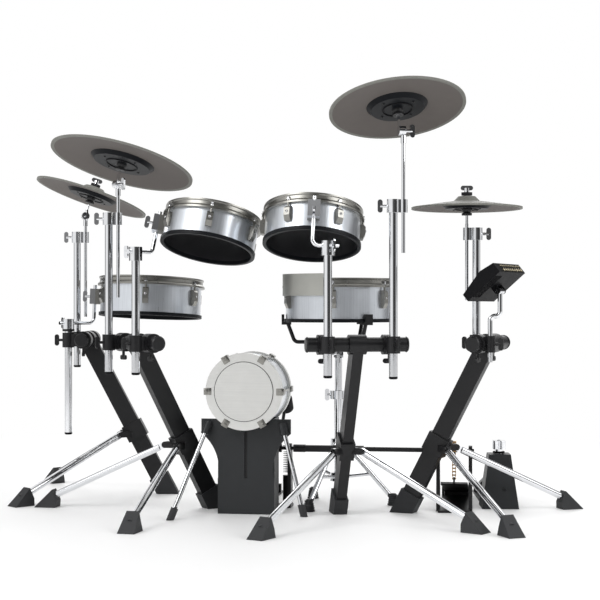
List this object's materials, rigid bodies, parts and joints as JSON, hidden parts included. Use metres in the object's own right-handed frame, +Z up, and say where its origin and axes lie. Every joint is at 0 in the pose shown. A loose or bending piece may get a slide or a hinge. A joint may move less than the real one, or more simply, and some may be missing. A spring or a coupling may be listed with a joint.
{
  "type": "electronic drum kit",
  "caption": "Compact electronic drum kit with mesh pads, rubber cymbal pads, a kick pad on a tower, a double kick pedal, a hi-hat control pedal and a module on folding clamp stands.",
  "frame": {"origin": "on the floor under the kick tower", "axes": "+X to the right as the audience sees the kit, +Y towards the player, +Z up"},
  "size_m": [1.6433, 1.2, 1.1439],
  "materials": {
    "chrome": "polished",
    "black_metal": "satin",
    "rubber": "matte",
    "cymbal_rubber": "matte",
    "shell_wrap": "brushed wrap",
    "hoop_metal": "satin",
    "mesh_head": "woven",
    "kick_plate": "brushed",
    "tower_coat": "powder coat",
    "pedal_black": "satin",
    "chain_bronze": "satin",
    "spring_steel": "bright",
    "black_plastic": "fine grain"
  },
  "bodies": {
    "kit": {"stand_posts": "black_metal", "post_shoes": "rubber", "cross_tubes": "black_metal", "leg_collars": "black_metal", "pole_clamps": "black_metal", "poles": "chrome", "support_arms": "chrome", "snare_stand": "chrome", "kick_shell": "shell_wrap", "kick_hoops": "hoop_metal", "kick_heads": "kick_plate", "kick_tower": "tower_coat", "kick_spurs": "chrome", "main_pedal_base": "pedal_black", "slave_pedal_base": "pedal_black", "pedal_springs": "spring_steel", "hihat_housing": "black_plastic"},
    "leg_centre_left": {"leg_centre_left": "chrome"},
    "leg_centre_right": {"leg_centre_right": "chrome"},
    "leg_far_left": {"leg_far_left": "chrome"},
    "leg_far_right": {"leg_far_right": "chrome"},
    "leg_left_left": {"leg_left_left": "chrome"},
    "leg_left_right": {"leg_left_right": "chrome"},
    "leg_right_left": {"leg_right_left": "chrome"},
    "leg_right_right": {"leg_right_right": "chrome"},
    "crash_1_rod": {"crash_1_rod": "chrome"},
    "crash_1_tilter": {"crash_1_tilter": "black_metal"},
    "crash_1_cymbal": {"crash_1_cymbal": "cymbal_rubber"},
    "ride_rod": {"ride_rod": "chrome"},
    "ride_tilter": {"ride_tilter": "black_metal"},
    "ride_cymbal": {"ride_cymbal": "cymbal_rubber"},
    "crash_2_rod": {"crash_2_rod": "chrome"},
    "crash_2_tilter": {"crash_2_tilter": "black_metal"},
    "crash_2_cymbal": {"crash_2_cymbal": "cymbal_rubber"},
    "hihat_rod": {"hihat_rod": "chrome"},
    "hihat_cymbal": {"hihat_cymbal": "cymbal_rubber"},
    "tom_1": {"tom_1_shell": "shell_wrap", "tom_1_hoop": "hoop_metal", "tom_1_head": "mesh_head"},
    "tom_2": {"tom_2_shell": "shell_wrap", "tom_2_hoop": "hoop_metal", "tom_2_head": "mesh_head"},
    "floor_tom": {"floor_tom_shell": "shell_wrap", "floor_tom_hoop": "hoop_metal", "floor_tom_head": "mesh_head"},
    "snare_tube": {"snare_tube": "chrome"},
    "snare_basket": {"snare_basket": "black_metal", "snare_shell": "shell_wrap", "snare_hoop": "hoop_metal", "snare_head": "mesh_head"},
    "main_footboard": {"main_footboard": "pedal_black"},
    "main_axle": {"main_axle": "pedal_black", "main_chain": "chain_bronze"},
    "slave_footboard": {"slave_footboard": "pedal_black"},
    "drive_line": {"drive_line": "pedal_black", "slave_chain": "chain_bronze"},
    "hihat_footboard": {"hihat_footboard": "black_plastic"},
    "hihat_knob": {"hihat_knob": "black_plastic"},
    "module_case": {"module_case": "black_plastic"},
    "module_knob": {"module_knob": "black_plastic"}
  },
  "joints": [
    {"name": "leg_centre_left_fold", "type": "hinge", "parent": "kit", "child": "leg_centre_left", "pos_m": [0.23741, -0.15417, 0.18352], "axis": [-0.8415, 0.5402, 0], "range_deg": [0, 50]},
    {"name": "leg_centre_right_fold", "type": "hinge", "parent": "kit", "child": "leg_centre_right", "pos_m": [0.30954, -0.14145, 0.18352], "axis": [-0.606, -0.7955, 0], "range_deg": [0, 50]},
    {"name": "leg_far_left_fold", "type": "hinge", "parent": "kit", "child": "leg_far_left", "pos_m": [-0.40115, 0.43888, 0.18352], "axis": [0.6743, 0.7385, 0], "range_deg": [0, 50]},
    {"name": "leg_far_right_fold", "type": "hinge", "parent": "kit", "child": "leg_far_right", "pos_m": [-0.40076, 0.36564, 0.18352], "axis": [-0.682, 0.7314, 0], "range_deg": [0, 50]},
    {"name": "leg_left_left_fold", "type": "hinge", "parent": "kit", "child": "leg_left_left", "pos_m": [-0.23471, 0.05063, 0.18352], "axis": [0.1805, 0.9836, 0], "range_deg": [0, 50]},
    {"name": "leg_left_right_fold", "type": "hinge", "parent": "kit", "child": "leg_left_right", "pos_m": [-0.19558, -0.01127, 0.18352], "axis": [-0.9659, 0.2588, 0], "range_deg": [0, 50]},
    {"name": "leg_right_left_fold", "type": "hinge", "parent": "kit", "child": "leg_right_left", "pos_m": [0.54164, -0.08871, 0.18352], "axis": [-0.9317, -0.3633, 0], "range_deg": [0, 50]},
    {"name": "leg_right_right_fold", "type": "hinge", "parent": "kit", "child": "leg_right_right", "pos_m": [0.57374, -0.02288, 0.18352], "axis": [0.2874, -0.9578, 0], "range_deg": [0, 50]},
    {"name": "crash_1_height", "type": "slide", "parent": "kit", "child": "crash_1_rod", "axis": [0, 0, 1], "range_m": [-0.01, 0.08]},
    {"name": "crash_1_tilt", "type": "hinge", "parent": "crash_1_rod", "child": "crash_1_tilter", "pos_m": [0.40143, -0.28411, 1.02386], "axis": [-0.9639, -0.2664, 0], "range_deg": [-15, 15]},
    {"name": "crash_1_rock", "type": "hinge", "parent": "crash_1_tilter", "child": "crash_1_cymbal", "pos_m": [0.39645, -0.26607, 1.08086], "axis": [-0.9639, -0.2664, 0], "range_deg": [-8, 8], "stiffness_Nm_per_rad": 1.5},
    {"name": "ride_height", "type": "slide", "parent": "kit", "child": "ride_rod", "axis": [0, 0, 1], "range_m": [-0.01, 0.08]},
    {"name": "ride_tilt", "type": "hinge", "parent": "ride_rod", "child": "ride_tilter", "pos_m": [-0.36906, 0.01852, 0.91177], "axis": [-0.6759, 0.737, 0], "range_deg": [-15, 15]},
    {"name": "ride_rock", "type": "hinge", "parent": "ride_tilter", "child": "ride_cymbal", "pos_m": [-0.35546, 0.03099, 0.96886], "axis": [-0.6759, 0.737, 0], "range_deg": [-8, 8], "stiffness_Nm_per_rad": 1.5},
    {"name": "crash_2_height", "type": "slide", "parent": "kit", "child": "crash_2_rod", "axis": [0, 0, 1], "range_m": [-0.01, 0.08]},
    {"name": "crash_2_tilt", "type": "hinge", "parent": "crash_2_rod", "child": "crash_2_tilter", "pos_m": [-0.52962, 0.49621, 0.85616], "axis": [-0.3412, 0.94, 0], "range_deg": [-15, 15]},
    {"name": "crash_2_rock", "type": "hinge", "parent": "crash_2_tilter", "child": "crash_2_cymbal", "pos_m": [-0.51119, 0.5029, 0.91286], "axis": [-0.3412, 0.94, 0], "range_deg": [-8, 8], "stiffness_Nm_per_rad": 1.5},
    {"name": "hihat_height", "type": "slide", "parent": "kit", "child": "hihat_rod", "axis": [0, 0, 1], "range_m": [0, 0.05]},
    {"name": "hihat_rock", "type": "hinge", "parent": "hihat_rod", "child": "hihat_cymbal", "pos_m": [0.60227, -0.04349, 0.83886], "axis": [1, 0, 0], "range_deg": [-8, 8], "stiffness_Nm_per_rad": 1.5},
    {"name": "tom_1_height", "type": "slide", "parent": "kit", "child": "tom_1", "axis": [0.1677, 0.2588, 0.9513], "range_m": [-0.015, 0.02]},
    {"name": "tom_2_height", "type": "slide", "parent": "kit", "child": "tom_2", "axis": [0.05, 0.2924, 0.955], "range_m": [-0.015, 0.02]},
    {"name": "floor_tom_height", "type": "slide", "parent": "kit", "child": "floor_tom", "axis": [0.0349, 0.0523, 0.998], "range_m": [-0.015, 0.02]},
    {"name": "snare_height", "type": "slide", "parent": "kit", "child": "snare_tube", "axis": [0, 0, 1], "range_m": [-0.02, 0.03]},
    {"name": "snare_tilt", "type": "hinge", "parent": "snare_tube", "child": "snare_basket", "pos_m": [0.255, 0.15, 0.436], "axis": [1, 0, 0], "range_deg": [-12, 12]},
    {"name": "main_board_press", "type": "hinge", "parent": "kit", "child": "main_footboard", "pos_m": [0.04267, 0.38986, 0.024], "axis": [0.9903, -0.1392, 0], "range_deg": [0, 11], "stiffness_Nm_per_rad": 6, "springref_deg": -17.19},
    {"name": "main_beater_swing", "type": "hinge", "parent": "kit", "child": "main_axle", "pos_m": [0.0167, 0.11883, 0.168], "axis": [0.9903, -0.1392, 0], "range_deg": [0, 46], "deforming": ["pedal_springs", "main_chain"]},
    {"name": "slave_board_press", "type": "hinge", "parent": "kit", "child": "slave_footboard", "pos_m": [0.61505, 0.30941, 0.024], "axis": [0.9903, -0.1392, 0], "range_deg": [0, 11], "stiffness_Nm_per_rad": 6, "springref_deg": -17.19},
    {"name": "second_beater_swing", "type": "hinge", "parent": "kit", "child": "drive_line", "pos_m": [0.0167, 0.11883, 0.168], "axis": [0.9903, -0.1392, 0], "range_deg": [0, 46], "deforming": ["pedal_springs", "slave_chain"]},
    {"name": "hihat_board_press", "type": "hinge", "parent": "kit", "child": "hihat_footboard", "pos_m": [0.722, 0.39782, 0.024], "axis": [0.9994, -0.0349, 0], "range_deg": [0, 8], "stiffness_Nm_per_rad": 8, "springref_deg": -17.19},
    {"name": "hihat_knob_turn", "type": "hinge", "parent": "kit", "child": "hihat_knob", "pos_m": [0.71202, 0.112, 0.1653], "axis": [0, 0, 1], "range_deg": [-150, 150]},
    {"name": "module_tilt", "type": "hinge", "parent": "kit", "child": "module_case", "pos_m": [0.67186, -0.19448, 0.612], "axis": [0.5299, 0.848, 0], "range_deg": [-20, 20]},
    {"name": "module_knob_turn", "type": "hinge", "parent": "module_case", "child": "module_knob", "pos_m": [0.67015, -0.13469, 0.65149], "axis": [-0.5451, 0.3406, 0.766], "range_deg": [-150, 150]}
  ],
  "couplings": [
    {"joint": "main_beater_swing", "follows": "main_board_press", "ratio": 4.1818},
    {"joint": "second_beater_swing", "follows": "slave_board_press", "ratio": 4.1818}
  ]
}
